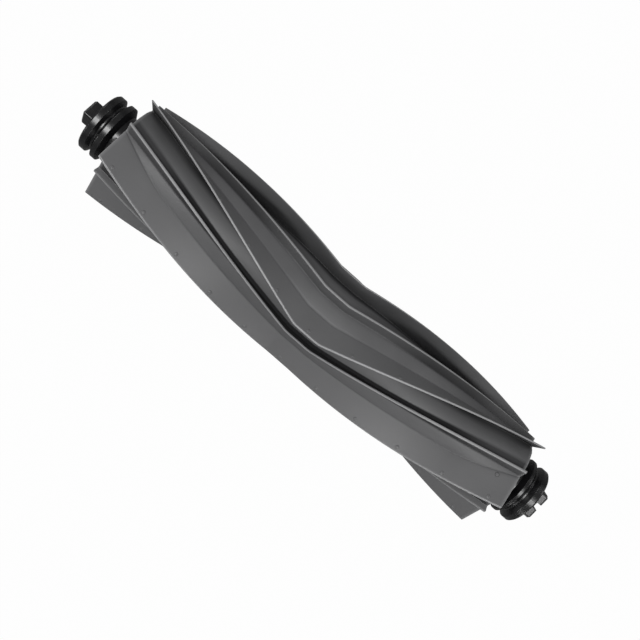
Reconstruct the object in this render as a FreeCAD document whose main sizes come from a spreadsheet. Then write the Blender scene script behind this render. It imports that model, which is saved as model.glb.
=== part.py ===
import FreeCAD, Part
import math
import os
import Sketcher
from FreeCAD import Placement, Rotation, Vector

# Roller brush of a robot vacuum: a finned rubber sleeve on a stiff core tube, closed by two spools.
# The roller's axis is X, its middle is the origin, the drive key points to -X and the fork to +X.
# Angles about the axis are in degrees from +Z, positive towards -Y.
DIMENSIONS = (
    ("sleeve_length", 160.6, "rubber sleeve, end to end"),
    ("sleeve_radius", 13.3, "floor of the valleys between the fins"),
    ("sleeve_chamfer", 0.5, "edge of the sleeve's tube at its ends"),
    ("sleeve_fit", 0.05, "gap between sleeve and core tube"),
    ("fin_count", 5, "tall fins, and as many short ones between them"),
    ("apex_length", 9.6, "straight middle of every chevron"),
    ("fin_flare", 6, "angle by which a fin's foot spreads below its crease"),
    ("fin_embed", 0.8, "depth of a fin's foot in the tube"),
    ("tall_tip_radius", 20, "tips of the tall fins"),
    ("tall_tip_width", 0.7, "thickness of a tall fin at its tip"),
    ("tall_crease_radius", 13.5, "where a tall fin's face meets its foot"),
    ("tall_root_width", 1.7, "thickness of a tall fin at its crease"),
    ("tall_phase", 23, "angle of a tall fin's leading edge in the middle"),
    ("tall_twist", 70.2, "turn of a tall fin from the straight middle to an end"),
    ("tall_lean", 20, "angle from the leading edge back to the crease"),
    ("tall_end_lean", 36, "the same angle at the sleeve's ends"),
    ("lean_run", 22, "length at each end over which the lean grows"),
    ("lean_power", 1.4, "how late the lean grows"),
    ("short_tip_radius", 15.9, "tips of the short fins"),
    ("short_tip_width", 0.95, "thickness of a short fin at its tip"),
    ("short_crease_radius", 13.45, "where a short fin's face meets its foot"),
    ("short_root_width", 1.05, "thickness of a short fin at its crease"),
    ("short_phase", 45, "angle of a short fin's leading edge in the middle"),
    ("short_twist", 63.3, "turn of a short fin from the straight middle to an end"),
    ("short_lean", 0.7, "angle from the leading edge back to the crease"),
    ("core_radius", 9.8, "outside of the core tube"),
    ("core_bore", 7.2, "inside of the core tube"),
    ("rib_count", 4, "ribs along the core tube"),
    ("rib_width", 2, "width of a rib"),
    ("rib_height", 0.8, "height of a rib above the tube"),
    ("rib_turn", 60, "angle of the first rib"),
    ("plug_length", 12, "length of a spool's plug in the core tube"),
    ("plug_fit", 0.05, "gap between plug and core tube"),
    ("plug_chamfer", 0.6, "lead-in edge of the plug"),
    ("plug_hollow", 5, "radius of the hollow in the plug"),
    ("neck_length", 2.7, "neck between sleeve end and first flange"),
    ("neck_radius", 7.9, "radius of the neck"),
    ("cone_length", 1.4, "sloping inner face of the first flange"),
    ("drive_inner_rim", 1.7, "width of the first flange's rim on the drive spool"),
    ("bearing_inner_rim", 1, "the same on the bearing spool"),
    ("flange_radius", 10.2, "radius of both flanges"),
    ("rim_spacing", 4.2, "start of the first flange's rim to the start of the second one's"),
    ("groove_floor", 0.5, "flat floor of the groove between the flanges"),
    ("drive_groove_depth", 1.7, "depth of that groove on the drive spool"),
    ("bearing_groove_depth", 1.6, "the same on the bearing spool"),
    ("outer_rim", 2.3, "width of the second flange's rim"),
    ("rim_chamfer", 0.5, "outer edge of the second flange"),
    ("lug_count", 2, "driving lugs on each spool"),
    ("lug_width", 2, "width of a lug"),
    ("lug_inset", 0.5, "outside of the core tube to the outer end of a lug"),
    ("lug_depth", 3, "reach of a lug into the core tube's end"),
    ("lug_show", 1.8, "length of a lug outside the core tube"),
    ("lug_turn", 12, "angle of the first lug"),
    ("lug_fit", 0.1, "gap round a lug in its slot"),
    ("key_side", 6.3, "side of the square drive key"),
    ("key_corner", 0.6, "rounding of the key's long edges"),
    ("key_length", 4.6, "reach of the key beyond the flange"),
    ("key_chamfer", 0.5, "lead-in edge of the key"),
    ("key_turn", 63.4, "angle of one of the key's flats"),
    ("drive_web", 4.5, "solid thickness behind the key"),
    ("bearing_bore", 2, "bore radius of the ball bearing"),
    ("bearing_radius", 5.5, "outside radius of the ball bearing"),
    ("bearing_width", 4, "width of the ball bearing"),
    ("bearing_inset", 2, "depth of the bearing below the flange face"),
    ("seat_fit", 0.01, "gap of the bearing in its seat and on its pin"),
    ("ball_radius", 1, "radius of a ball"),
    ("ball_count", 7, "balls in the bearing"),
    ("ball_pitch", 3.8, "radius of the circle of ball centres"),
    ("ball_gap", 0.04, "gap between a ball and its tracks"),
    ("race_gap", 1.3, "opening between the two races"),
    ("shield_thickness", 0.25, "thickness of a bearing shield"),
    ("shield_step", 0.3, "height of the shield's seat in the outer race"),
    ("shield_gap", 0.3, "gap between a shield and the inner race"),
    ("cage_thickness", 0.6, "radial thickness of the ball cage"),
    ("cage_width", 2.6, "width of the ball cage"),
    ("cage_gap", 0.06, "gap between a ball and its cage pocket"),
    ("axial_play", 0.05, "gap between the pieces stacked on the pin"),
    ("washer_radius", 3.1, "outside radius of the thrust washer"),
    ("washer_thickness", 0.4, "thickness of the thrust washer"),
    ("clip_radius", 3.5, "outside radius of the retaining clip"),
    ("clip_thickness", 0.6, "thickness of the retaining clip"),
    ("clip_mouth", 2.4, "mouth of the retaining clip"),
    ("clip_groove", 1.5, "radius of the pin in the clip's groove"),
    ("pin_tail", 1, "length of the pin beyond the clip"),
    ("pin_chamfer", 0.3, "edge of the pin's ends"),
    ("pin_hold", 3.2, "length of the pin in the end block"),
    ("hub_radius", 5.4, "round hub of the end block"),
    ("hub_gap", 0.4, "gap round the hub in the spool"),
    ("fork_width", 9.7, "end block across both prongs"),
    ("fork_thickness", 6.4, "thickness of the prongs"),
    ("fork_corner", 0.8, "rounding of the prongs' long edges"),
    ("fork_reach", 4.6, "reach of the prongs beyond the flange"),
    ("fork_chamfer", 0.7, "edge of the prongs' ends"),
    ("fork_slot", 2.2, "slot between the prongs"),
    ("fork_depth", 1.9, "depth of that slot"),
    ("fork_turn", 8, "angle of the prongs' broad side"),
)
# Shares of a chevron's half length at which its section is drawn.
FIN_STATIONS = (0, 0.15, 0.3, 0.45, 0.6, 0.72, 0.8, 0.87, 0.94, 1)

# Distances from the roller's middle along its axis.
SLEEVE_END = "dims.sleeve_length / 2"
PLUG_END = f"({SLEEVE_END} - dims.plug_length)"
NECK_END = f"({SLEEVE_END} + dims.neck_length)"
INNER_RIM_START = f"({NECK_END} + dims.cone_length)"
OUTER_RIM_START = f"({INNER_RIM_START} + dims.rim_spacing)"
FACE = f"({OUTER_RIM_START} + dims.outer_rim)"
BEARING_END = f"({FACE} - dims.bearing_inset)"
BEARING_START = f"({BEARING_END} - dims.bearing_width)"
BEARING_MIDDLE = f"({BEARING_END} - dims.bearing_width / 2)"
WASHER_START = f"({BEARING_END} + dims.axial_play)"
WASHER_END = f"({WASHER_START} + dims.washer_thickness)"
HUB_START = f"({WASHER_END} + dims.axial_play)"
PIN_END = f"({HUB_START} + dims.pin_hold)"
CLIP_END = f"({BEARING_START} - dims.axial_play)"
CLIP_START = f"({CLIP_END} - dims.clip_thickness)"
GROOVE_START = f"({CLIP_START} - dims.axial_play)"
PIN_START = f"({GROOVE_START} - dims.pin_tail)"
FORK_END = f"({FACE} + dims.fork_reach)"

# Radii that follow from a fit.
PLUG_RADIUS = "(dims.core_bore - dims.plug_fit)"
PIN_RADIUS = "(dims.bearing_bore - dims.seat_fit)"
TRACK_RADIUS = "(dims.ball_radius + dims.ball_gap)"
INNER_RACE_RADIUS = "(dims.ball_pitch - dims.race_gap / 2)"
OUTER_RACE_BORE = "(dims.ball_pitch + dims.race_gap / 2)"


def fill_sheet(doc):
    """Write every driving dimension into the sheet, with its name as alias and a note beside it."""
    sheet = doc.addObject("Spreadsheet::Sheet", "dims")
    for row, (alias, size, note) in enumerate(DIMENSIONS, start=1):
        sheet.set(f"A{row}", alias)
        sheet.set(f"B{row}", str(size))
        sheet.setAlias(f"B{row}", alias)
        sheet.set(f"C{row}", note)
    doc.recompute()
    return sheet


def new_body(doc, label):
    """Start one sub-part."""
    body = doc.addObject("PartDesign::Body", label)
    body.Label = label
    return body


def origin_feature(body, role):
    """Find a plane or axis of the sub-part's own origin."""
    return next(item for item in body.Origin.OriginFeatures if item.Role == role)


def new_sketch(body, name, role, shift="0", turn="0"):
    """Start a sketch on an origin plane, shifted along the plane's normal and turned about it."""
    sketch = body.newObject("Sketcher::SketchObject", name)
    sketch.AttachmentSupport = [(origin_feature(body, role), "")]
    sketch.MapMode = "FlatFace"
    sketch.AttachmentOffset = Placement(Vector(0, 0, 1), Rotation(Vector(0, 0, 1), 1))
    sketch.setExpression("AttachmentOffset.Base.z", shift)
    sketch.setExpression("AttachmentOffset.Rotation.Angle", turn)
    return sketch


def bind(sketch, constraint, formula):
    """Add a constraint to a sketch and tie its value to the sheet."""
    index = sketch.addConstraint(constraint)
    sketch.setExpression(f"Constraints[{index}]", formula)


def place_point(sketch, geometry, end, across, up):
    """Tie both coordinates of a point of a sketch to the sheet."""
    point = sketch.getPoint(geometry, end)
    bind(sketch, Sketcher.Constraint("DistanceX", geometry, end, point.x), across)
    bind(sketch, Sketcher.Constraint("DistanceY", geometry, end, point.y), up)


def draw_outline(sketch, corners):
    """Draw a closed outline of straight lines through corners given as pairs of formulas."""
    count = len(corners)
    angles = [2 * math.pi * index / count for index in range(count)]
    start = [Vector(math.cos(angle), math.sin(angle), 0) for angle in angles]
    for index in range(count):
        sketch.addGeometry(Part.LineSegment(start[index], start[(index + 1) % count]), False)
    for index in range(count):
        sketch.addConstraint(Sketcher.Constraint("Coincident", index, 2, (index + 1) % count, 1))
    for index, (across, up) in enumerate(corners):
        place_point(sketch, index, 1, across, up)


def draw_circle(sketch, radius, across="0", up="0"):
    """Draw a full circle."""
    circle = Part.Circle(Vector(0, 0, 0), Vector(0, 0, 1), 1)
    index = sketch.addGeometry(circle, False)
    place_point(sketch, index, 3, across, up)
    bind(sketch, Sketcher.Constraint("Radius", index, 1.0), radius)


def box_corners(width, low, high):
    """Give the corners of an upright rectangle that is centred across."""
    half = f"{width} / 2"
    return [(f"-({half})", low), (half, low), (half, high), (f"-({half})", high)]


def draw_rounded_box(sketch, width, height, corner):
    """Draw a centred rectangle with rounded corners: four lines tied by four tangent arcs."""
    quarter = math.pi / 2
    signs = ((1, 1), (-1, 1), (-1, -1), (1, -1))
    arcs = []
    for index, (side, rise) in enumerate(signs):
        circle = Part.Circle(Vector(2 * side, 2 * rise, 0), Vector(0, 0, 1), 1)
        arc = Part.ArcOfCircle(circle, index * quarter, (index + 1) * quarter)
        arcs.append(sketch.addGeometry(arc, False))
        place_point(
            sketch,
            arcs[-1],
            3,
            f"{side} * ({width} / 2 - {corner})",
            f"{rise} * ({height} / 2 - {corner})",
        )
        bind(sketch, Sketcher.Constraint("Radius", arcs[-1], 1.0), corner)
    for index, arc in enumerate(arcs):
        following = arcs[(index + 1) % len(arcs)]
        first = sketch.Geometry[arc].EndPoint
        second = sketch.Geometry[following].StartPoint
        line = sketch.addGeometry(Part.LineSegment(first, second), False)
        sketch.addConstraint(Sketcher.Constraint("Tangent", arc, 2, line, 1))
        sketch.addConstraint(Sketcher.Constraint("Tangent", line, 2, following, 1))


def revolve(body, name, corners):
    """Turn an outline of (distance along the axis, radius) corners about the roller's axis."""
    sketch = new_sketch(body, f"{name}_outline", "XZ_Plane")
    draw_outline(sketch, corners)
    turned = body.newObject("PartDesign::Revolution", name)
    turned.Profile = sketch
    turned.ReferenceAxis = (origin_feature(body, "X_Axis"), [""])
    turned.Angle = 360
    return turned


def pad(body, name, sketch, length, side=1):
    """Raise a sketch along +X, or along -X on the other side."""
    raised = body.newObject("PartDesign::Pad", name)
    raised.Profile = sketch
    raised.Reversed = side < 0
    raised.setExpression("Length", length)
    return raised


def pad_both_ways(body, name, sketch, length):
    """Raise a sketch evenly to both sides of its plane."""
    raised = pad(body, name, sketch, length)
    raised.SideType = "Symmetric"
    return raised


def cut(body, name, sketch, length, side=1):
    """Cut a sketch out of the sub-part along +X, or along -X on the other side."""
    hollow = body.newObject("PartDesign::Pocket", name)
    hollow.Profile = sketch
    hollow.Reversed = side > 0
    hollow.setExpression("Length", length)
    return hollow


def cut_both_ways(body, name, sketch, length):
    """Cut a sketch out of the sub-part evenly to both sides of its plane."""
    hollow = cut(body, name, sketch, length)
    hollow.SideType = "Symmetric"
    return hollow


def repeat_round(body, name, features, count):
    """Repeat features evenly about the roller's axis."""
    pattern = body.newObject("PartDesign::PolarPattern", name)
    pattern.Originals = features
    pattern.Axis = (origin_feature(body, "X_Axis"), [""])
    pattern.Angle = 360
    pattern.setExpression("Occurrences", count)
    body.Tip = pattern
    return pattern


def mirror_and_repeat(doc, body, name, features, count):
    """Mirror features to the roller's other half and repeat both halves about the axis."""
    pattern = body.newObject("PartDesign::MultiTransform", name)
    pattern.Originals = features
    mirrored = doc.addObject("PartDesign::Mirrored", f"{name}_mirrored")
    mirrored.MirrorPlane = (origin_feature(body, "YZ_Plane"), [""])
    turned = doc.addObject("PartDesign::PolarPattern", f"{name}_turned")
    turned.Axis = (origin_feature(body, "X_Axis"), [""])
    turned.Angle = 360
    turned.setExpression("Occurrences", count)
    body.addObject(mirrored)
    body.addObject(turned)
    pattern.Transformations = [mirrored, turned]
    body.Tip = pattern
    return pattern


def chamfer_end(doc, body, name, feature, place, size):
    """Bevel the edges of a feature that lie in the plane at one distance along the axis."""
    doc.recompute()
    flat = 1e-4
    names = []
    for index, edge in enumerate(feature.Shape.Edges, start=1):
        if abs(edge.BoundBox.XMin - place) < flat and abs(edge.BoundBox.XMax - place) < flat:
            names.append(f"Edge{index}")
    bevel = body.newObject("PartDesign::Chamfer", name)
    bevel.Base = (feature, names)
    bevel.setExpression("Size", size)
    body.Tip = bevel
    return bevel


def polar(radius, angle):
    """Give a section's corner by its radius and its angle behind the leading edge."""
    return (f"({radius}) * sin({angle})", f"({radius}) * cos({angle})")


def fin_section(body, kind, share, lean):
    """Draw a fin's section at one share of the chevron's half length.

    The tip is a narrow flat at the tip radius. The two faces run straight to the crease, which lies
    behind the leading edge by the lean, and the foot spreads below it into the tube.
    """
    place = f"dims.apex_length / 2 + ({SLEEVE_END} - dims.apex_length / 2) * {share}"
    turn = f"dims.{kind}_phase - dims.{kind}_twist * {share}"
    tip = f"dims.{kind}_tip_radius"
    crease = f"dims.{kind}_crease_radius"
    foot = "dims.sleeve_radius - dims.fin_embed"
    tip_angle = f"dims.{kind}_tip_width / {tip} * 180 / pi"
    root_angle = f"dims.{kind}_root_width / {crease} * 180 / pi"
    sketch = new_sketch(body, f"{kind}_section", "YZ_Plane", place, turn)
    draw_outline(
        sketch,
        [
            polar(tip, "0"),
            polar(tip, tip_angle),
            polar(crease, lean),
            polar(foot, f"{lean} + dims.fin_flare"),
            polar(foot, f"{lean} - {root_angle} - dims.fin_flare"),
            polar(crease, f"{lean} - {root_angle}"),
        ],
    )
    return sketch


def growing_lean(share):
    """Give the tall fins' lean, which grows over the last stretch before the sleeve's ends."""
    place = f"(dims.apex_length / 2 + ({SLEEVE_END} - dims.apex_length / 2) * {share})"
    grown = f"max(0; ({place} - {SLEEVE_END} + dims.lean_run) / dims.lean_run) ^ dims.lean_power"
    return f"(dims.tall_lean + (dims.tall_end_lean - dims.tall_lean) * {grown})"


def add_fins(doc, body, kind, lean_at):
    """Add the chevron fins of one kind: a straight middle and a twisted loft to each end."""
    middle = fin_section(body, kind, 0, lean_at(0))
    middle.setExpression("AttachmentOffset.Base.z", "0")
    straight = pad_both_ways(body, f"{kind}_middle", middle, "dims.apex_length")
    repeat_round(body, f"{kind}_middles", [straight], "dims.fin_count")
    sections = [fin_section(body, kind, share, lean_at(share)) for share in FIN_STATIONS]
    wing = body.newObject("PartDesign::AdditiveLoft", f"{kind}_wing")
    wing.Profile = sections[0]
    wing.Sections = [(section, [""]) for section in sections[1:]]
    mirror_and_repeat(doc, body, f"{kind}_wings", [wing], "dims.fin_count")


def make_fin_sleeve(doc):
    """Rubber moulding: a tube with keyways inside and chevron fins of two heights outside."""
    body = new_body(doc, "fin_sleeve")
    bore = "dims.core_radius + dims.sleeve_fit"
    shoulder = "dims.sleeve_radius - dims.sleeve_chamfer"
    edge = f"({SLEEVE_END} - dims.sleeve_chamfer)"
    revolve(
        body,
        "sleeve_tube",
        [
            (f"-{SLEEVE_END}", bore),
            (SLEEVE_END, bore),
            (SLEEVE_END, shoulder),
            (edge, "dims.sleeve_radius"),
            (f"-{edge}", "dims.sleeve_radius"),
            (f"-{SLEEVE_END}", shoulder),
        ],
    )
    sketch = new_sketch(body, "keyway_outline", "YZ_Plane", turn="dims.rib_turn")
    ceiling = "dims.core_radius + dims.rib_height + dims.sleeve_fit"
    corners = box_corners("(dims.rib_width + 2 * dims.sleeve_fit)", "dims.core_bore", ceiling)
    draw_outline(sketch, corners)
    keyway = cut_both_ways(body, "keyway", sketch, "dims.sleeve_length")
    repeat_round(body, "keyways", [keyway], "dims.rib_count")
    add_fins(doc, body, "tall", growing_lean)
    add_fins(doc, body, "short", lambda share: "dims.short_lean")
    return body


def make_core_tube(doc):
    """Stiff tube with ribs that hold the sleeve and end slots for the spools' lugs."""
    body = new_body(doc, "core_tube")
    revolve(
        body,
        "tube",
        [
            (f"-{SLEEVE_END}", "dims.core_bore"),
            (SLEEVE_END, "dims.core_bore"),
            (SLEEVE_END, "dims.core_radius"),
            (f"-{SLEEVE_END}", "dims.core_radius"),
        ],
    )
    wall_middle = "(dims.core_bore + dims.core_radius) / 2"
    sketch = new_sketch(body, "rib_outline", "YZ_Plane", turn="dims.rib_turn")
    top = "dims.core_radius + dims.rib_height"
    draw_outline(sketch, box_corners("dims.rib_width", wall_middle, top))
    rib = pad_both_ways(body, "rib", sketch, "dims.sleeve_length")
    repeat_round(body, "ribs", [rib], "dims.rib_count")
    sketch = new_sketch(body, "slot_outline", "YZ_Plane", SLEEVE_END, "dims.lug_turn")
    slot_width = "(dims.lug_width + 2 * dims.lug_fit)"
    draw_outline(sketch, box_corners(slot_width, "dims.core_bore / 2", top))
    slot = cut(body, "lug_slot", sketch, "dims.lug_depth + dims.lug_fit", -1)
    mirror_and_repeat(doc, body, "lug_slots", [slot], "dims.lug_count")
    return body


def spool_outline(kind, side):
    """Outer outline of a spool, from the plug's inner end to the outer face."""
    inner_rim_end = f"({INNER_RIM_START} + dims.{kind}_inner_rim)"
    slope = f"(dims.rim_spacing - dims.{kind}_inner_rim - dims.groove_floor) / 2"
    floor = f"dims.flange_radius - dims.{kind}_groove_depth"
    corners = [
        (PLUG_END, f"{PLUG_RADIUS} - dims.plug_chamfer"),
        (f"{PLUG_END} + dims.plug_chamfer", PLUG_RADIUS),
        (SLEEVE_END, PLUG_RADIUS),
        (SLEEVE_END, "dims.neck_radius"),
        (NECK_END, "dims.neck_radius"),
        (INNER_RIM_START, "dims.flange_radius"),
        (inner_rim_end, "dims.flange_radius"),
        (f"{inner_rim_end} + {slope}", floor),
        (f"{OUTER_RIM_START} - {slope}", floor),
        (OUTER_RIM_START, "dims.flange_radius"),
        (f"{FACE} - dims.rim_chamfer", "dims.flange_radius"),
        (FACE, "dims.flange_radius - dims.rim_chamfer"),
    ]
    return [(f"{side} * ({place})", radius) for place, radius in corners]


def add_lugs(body, side):
    """Add the lugs on a spool's neck that reach into the core tube's end slots."""
    start = f"{side} * ({SLEEVE_END} - dims.lug_depth)"
    sketch = new_sketch(body, "lug_outline", "YZ_Plane", start, "dims.lug_turn")
    root = f"({PLUG_RADIUS} + dims.plug_hollow) / 2"
    draw_outline(sketch, box_corners("dims.lug_width", root, "dims.core_radius - dims.lug_inset"))
    lug = pad(body, "lug", sketch, "dims.lug_depth + dims.lug_show", side)
    repeat_round(body, "lugs", [lug], "dims.lug_count")


def make_drive_end_cap(doc):
    """Spool with a square key on its outer face and a hollow plug."""
    body = new_body(doc, "drive_end_cap")
    side = -1
    hollow_end = f"{side} * ({FACE} - dims.drive_web)"
    corners = [(f"{side} * {PLUG_END}", "dims.plug_hollow")]
    corners += spool_outline("drive", side)
    corners += [(f"{side} * {FACE}", "0"), (hollow_end, "0"), (hollow_end, "dims.plug_hollow")]
    revolve(body, "spool", corners)
    add_lugs(body, side)
    sketch = new_sketch(body, "key_outline", "YZ_Plane", f"{side} * {FACE}", "dims.key_turn")
    draw_rounded_box(sketch, "dims.key_side", "dims.key_side", "dims.key_corner")
    key = pad(body, "key", sketch, "dims.key_length", side)
    doc.recompute()
    key_end = key.Shape.BoundBox.XMin
    chamfer_end(doc, body, "key_lead_in", key, key_end, "dims.key_chamfer")
    return body


def make_bearing_end_cap(doc):
    """Spool with a stepped bore: the bearing's seat, its shoulder and a recess for the end block."""
    body = new_body(doc, "bearing_end_cap")
    seat = "dims.bearing_radius + dims.seat_fit"
    recess = "dims.hub_radius + dims.hub_gap"
    corners = [(PLUG_END, "dims.plug_hollow")]
    corners += spool_outline("bearing", 1)
    corners += [
        (FACE, recess),
        (BEARING_END, recess),
        (BEARING_END, seat),
        (BEARING_START, seat),
        (BEARING_START, "dims.plug_hollow"),
    ]
    revolve(body, "spool", corners)
    add_lugs(body, 1)
    return body


def add_track(body):
    """Cut the round ball track into a race."""
    sketch = new_sketch(body, "track_outline", "XZ_Plane")
    draw_circle(sketch, TRACK_RADIUS, BEARING_MIDDLE, "dims.ball_pitch")
    track = body.newObject("PartDesign::Groove", "track")
    track.Profile = sketch
    track.ReferenceAxis = (origin_feature(body, "X_Axis"), [""])
    track.Angle = 360


def make_bearing_races(doc):
    """Inner race, and outer race with a step at each face for its shield."""
    inner = new_body(doc, "bearing_inner_race")
    revolve(
        inner,
        "ring",
        [
            (BEARING_START, "dims.bearing_bore"),
            (BEARING_END, "dims.bearing_bore"),
            (BEARING_END, INNER_RACE_RADIUS),
            (BEARING_START, INNER_RACE_RADIUS),
        ],
    )
    add_track(inner)
    outer = new_body(doc, "bearing_outer_race")
    step = f"{OUTER_RACE_BORE} + dims.shield_step"
    first = f"{BEARING_START} + dims.shield_thickness"
    last = f"{BEARING_END} - dims.shield_thickness"
    revolve(
        outer,
        "ring",
        [
            (BEARING_START, "dims.bearing_radius"),
            (BEARING_END, "dims.bearing_radius"),
            (BEARING_END, step),
            (last, step),
            (last, OUTER_RACE_BORE),
            (first, OUTER_RACE_BORE),
            (first, step),
            (BEARING_START, step),
        ],
    )
    add_track(outer)
    return [inner, outer]


def make_ring(doc, label, start, end, bore, radius):
    """Plain flat ring about the roller's axis."""
    body = new_body(doc, label)
    revolve(body, "ring", [(start, bore), (end, bore), (end, radius), (start, radius)])
    return body


def make_bearing_shields(doc):
    """Thin ring in each face of the outer race, clear of the inner race."""
    bore = f"{INNER_RACE_RADIUS} + dims.shield_gap"
    radius = f"{OUTER_RACE_BORE} + dims.shield_step"
    inner_end = f"{BEARING_START} + dims.shield_thickness"
    outer_start = f"{BEARING_END} - dims.shield_thickness"
    return [
        make_ring(doc, "bearing_inner_shield", BEARING_START, inner_end, bore, radius),
        make_ring(doc, "bearing_outer_shield", outer_start, BEARING_END, bore, radius),
    ]


def make_bearing_cage(doc):
    """Ring between the races with one round pocket for each ball."""
    body = new_body(doc, "bearing_cage")
    first = f"{BEARING_MIDDLE} - dims.cage_width / 2"
    last = f"{BEARING_MIDDLE} + dims.cage_width / 2"
    low = "dims.ball_pitch - dims.cage_thickness / 2"
    high = "dims.ball_pitch + dims.cage_thickness / 2"
    revolve(body, "ring", [(first, low), (last, low), (last, high), (first, high)])
    sketch = new_sketch(body, "pocket_outline", "XY_Plane", "dims.ball_pitch")
    draw_circle(sketch, "dims.ball_radius + dims.cage_gap", BEARING_MIDDLE, "0")
    pocket = cut_both_ways(body, "pocket", sketch, "2 * dims.ball_radius")
    repeat_round(body, "pockets", [pocket], "dims.ball_count")
    return body


def make_bearing_balls(doc, value):
    """Group of separate balls on one circle."""
    balls = []
    for index in range(int(value("ball_count"))):
        ball = doc.addObject("Part::Sphere", "ball")
        angle = f"360 * {index} / dims.ball_count"
        ball.setExpression("Radius", "dims.ball_radius")
        ball.setExpression("Placement.Base.x", BEARING_MIDDLE)
        ball.setExpression("Placement.Base.y", f"-dims.ball_pitch * sin({angle})")
        ball.setExpression("Placement.Base.z", f"dims.ball_pitch * cos({angle})")
        balls.append(ball)
    group = doc.addObject("Part::Compound", "bearing_balls")
    group.Label = "bearing_balls"
    group.Links = balls
    return group


def make_axle_pin(doc):
    """Steel pin with bevelled ends and a groove for the retaining clip."""
    body = new_body(doc, "axle_pin")
    tapered = f"{PIN_RADIUS} - dims.pin_chamfer"
    revolve(
        body,
        "pin",
        [
            (PIN_START, "0"),
            (PIN_START, tapered),
            (f"{PIN_START} + dims.pin_chamfer", PIN_RADIUS),
            (GROOVE_START, PIN_RADIUS),
            (GROOVE_START, "dims.clip_groove"),
            (BEARING_START, "dims.clip_groove"),
            (BEARING_START, PIN_RADIUS),
            (f"{PIN_END} - dims.pin_chamfer", PIN_RADIUS),
            (PIN_END, tapered),
            (PIN_END, "0"),
        ],
    )
    return body


def make_retaining_clip(doc):
    """Flat ring with a mouth, seated in the pin's groove."""
    body = new_body(doc, "retaining_clip")
    sketch = new_sketch(body, "clip_outline", "YZ_Plane", CLIP_START)
    draw_circle(sketch, "dims.clip_radius")
    draw_circle(sketch, "dims.clip_groove + dims.axial_play")
    pad(body, "clip_ring", sketch, "dims.clip_thickness")
    sketch = new_sketch(body, "mouth_outline", "YZ_Plane", CLIP_START)
    draw_outline(sketch, box_corners("dims.clip_mouth", "0", "dims.clip_radius * 2"))
    mouth = cut(body, "mouth", sketch, "dims.clip_thickness")
    body.Tip = mouth
    return body


def make_end_block(doc):
    """Still end piece: a round hub in the spool's recess and two prongs with a slot between."""
    body = new_body(doc, "end_block")
    sketch = new_sketch(body, "hub_outline", "YZ_Plane", HUB_START)
    draw_circle(sketch, "dims.hub_radius")
    pad(body, "hub", sketch, f"{FACE} - {HUB_START}")
    sketch = new_sketch(body, "fork_outline", "YZ_Plane", FACE, "dims.fork_turn")
    draw_rounded_box(sketch, "dims.fork_width", "dims.fork_thickness", "dims.fork_corner")
    fork = pad(body, "fork", sketch, "dims.fork_reach")
    doc.recompute()
    fork_end = fork.Shape.BoundBox.XMax
    chamfer_end(doc, body, "fork_edge", fork, fork_end, "dims.fork_chamfer")
    sketch = new_sketch(body, "fork_slot_outline", "YZ_Plane", FORK_END, "dims.fork_turn")
    reach = "dims.fork_thickness"
    draw_outline(sketch, box_corners("dims.fork_slot", f"-{reach}", reach))
    cut(body, "slot", sketch, "dims.fork_depth", -1)
    sketch = new_sketch(body, "pin_hole_outline", "YZ_Plane", HUB_START)
    draw_circle(sketch, "dims.bearing_bore")
    body.Tip = cut(body, "pin_hole", sketch, "dims.pin_hold + dims.axial_play")
    return body


def check(doc, parts):
    """Stop if any object of the document failed or any sub-part has no sound shape."""
    for item in doc.Objects:
        if "Invalid" in item.State or "Error" in item.State:
            raise RuntimeError(f"{item.Label} failed: {item.State}")
    for part in parts:
        if part.Shape.isNull() or not part.Shape.isValid():
            raise RuntimeError(f"{part.Label} has no sound shape")


def main():
    """Build the document and write each sub-part's solid to its own file."""
    doc = FreeCAD.newDocument("roller_brush")
    sheet = fill_sheet(doc)

    def value(alias):
        """Read one driving dimension."""
        return sheet.get(alias)

    washer = "dims.bearing_bore + dims.axial_play"
    parts = [make_fin_sleeve(doc), make_core_tube(doc), make_drive_end_cap(doc)]
    parts += [make_bearing_end_cap(doc), *make_bearing_races(doc), *make_bearing_shields(doc)]
    parts += [make_bearing_cage(doc), make_bearing_balls(doc, value), make_axle_pin(doc)]
    parts += [
        make_ring(doc, "thrust_washer", WASHER_START, WASHER_END, washer, "dims.washer_radius"),
        make_retaining_clip(doc),
        make_end_block(doc),
    ]
    doc.recompute()
    check(doc, parts)
    os.makedirs("parts", exist_ok=True)
    for part in parts:
        part.Shape.exportStep(os.path.join("parts", f"{part.Label}.step"))
        solids = len(part.Shape.Solids)
        print(f"{part.Label}: {solids} solid(s), {part.Shape.Volume:.1f} mm3")


main()
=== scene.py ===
import math

import bpy
import numpy as np
from mathutils import Matrix, Vector
from mathutils.geometry import tessellate_polygon


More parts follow.
